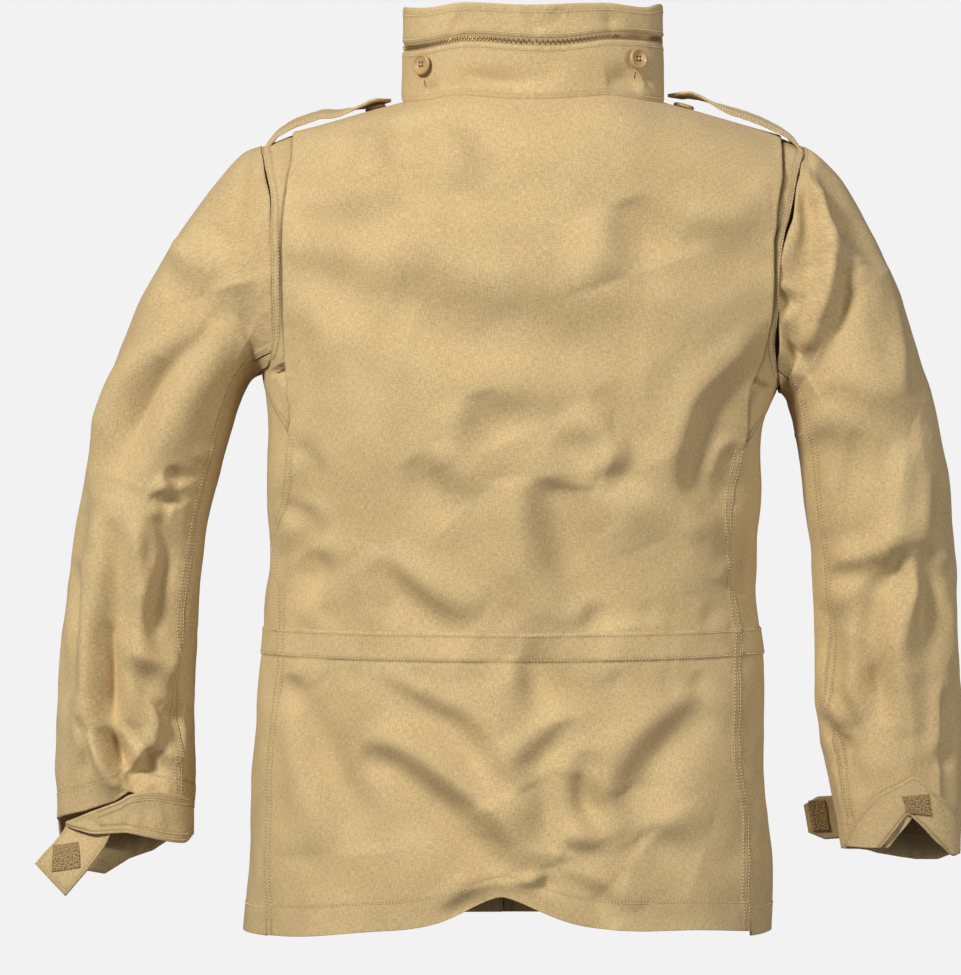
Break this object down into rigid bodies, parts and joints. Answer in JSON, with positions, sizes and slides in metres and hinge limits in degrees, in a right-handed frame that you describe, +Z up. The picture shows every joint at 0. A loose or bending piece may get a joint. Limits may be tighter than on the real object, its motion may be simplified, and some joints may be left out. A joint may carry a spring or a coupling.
{
  "type": "field jacket",
  "caption": "Hip-length cotton field jacket worn open and hollow, with stand collar, shoulder straps, pleated back, waist casing and cuffs with tabs and folded hand guards.",
  "frame": {"origin": "middle of the neck opening at the base of the collar, where the jacket is held when worn", "axes": "+Z up, the back of the jacket faces -Y, the wearer's right is +X"},
  "size_m": [0.8385, 0.2519, 0.8282],
  "materials": {
    "cloth": "satin cotton twill",
    "zip_tape": "woven tape",
    "button": "semi-gloss",
    "hook_and_loop": "matt pile",
    "zip_metal": "oxidised"
  },
  "bodies": {
    "garment": {"back": "cloth", "pleat_left": "cloth", "pleat_right": "cloth", "front_left": "cloth", "front_right": "cloth", "storm_flap": "cloth", "sleeve_left": "cloth", "sleeve_right": "cloth", "sleeve_left_under": "cloth", "sleeve_right_under": "cloth", "collar_lower": "cloth", "collar_upper": "cloth", "epaulette_left": "cloth", "epaulette_right": "cloth", "cuff_tab_left": "cloth", "cuff_tab_right": "cloth", "hand_guard_left": "cloth", "hand_guard_right": "cloth", "front_zip": "zip_tape", "collar_zip_tape": "zip_tape", "collar_button_left": "button", "collar_button_right": "button", "shoulder_button_left": "button", "shoulder_button_right": "button", "tab_patch_right": "hook_and_loop", "hook_patch_left": "hook_and_loop", "hook_patch_right": "hook_and_loop", "collar_zip_slider": "zip_metal"},
    "zip_pull": {"collar_zip_pull": "zip_metal"}
  },
  "joints": [
    {"name": "zip_pull_turn", "type": "hinge", "parent": "garment", "child": "zip_pull", "pos_m": [0.06653, 0.0881, 0.01318], "axis": [0.4806, 0.0735, -0.8738], "range_deg": [0, 170]}
  ]
}
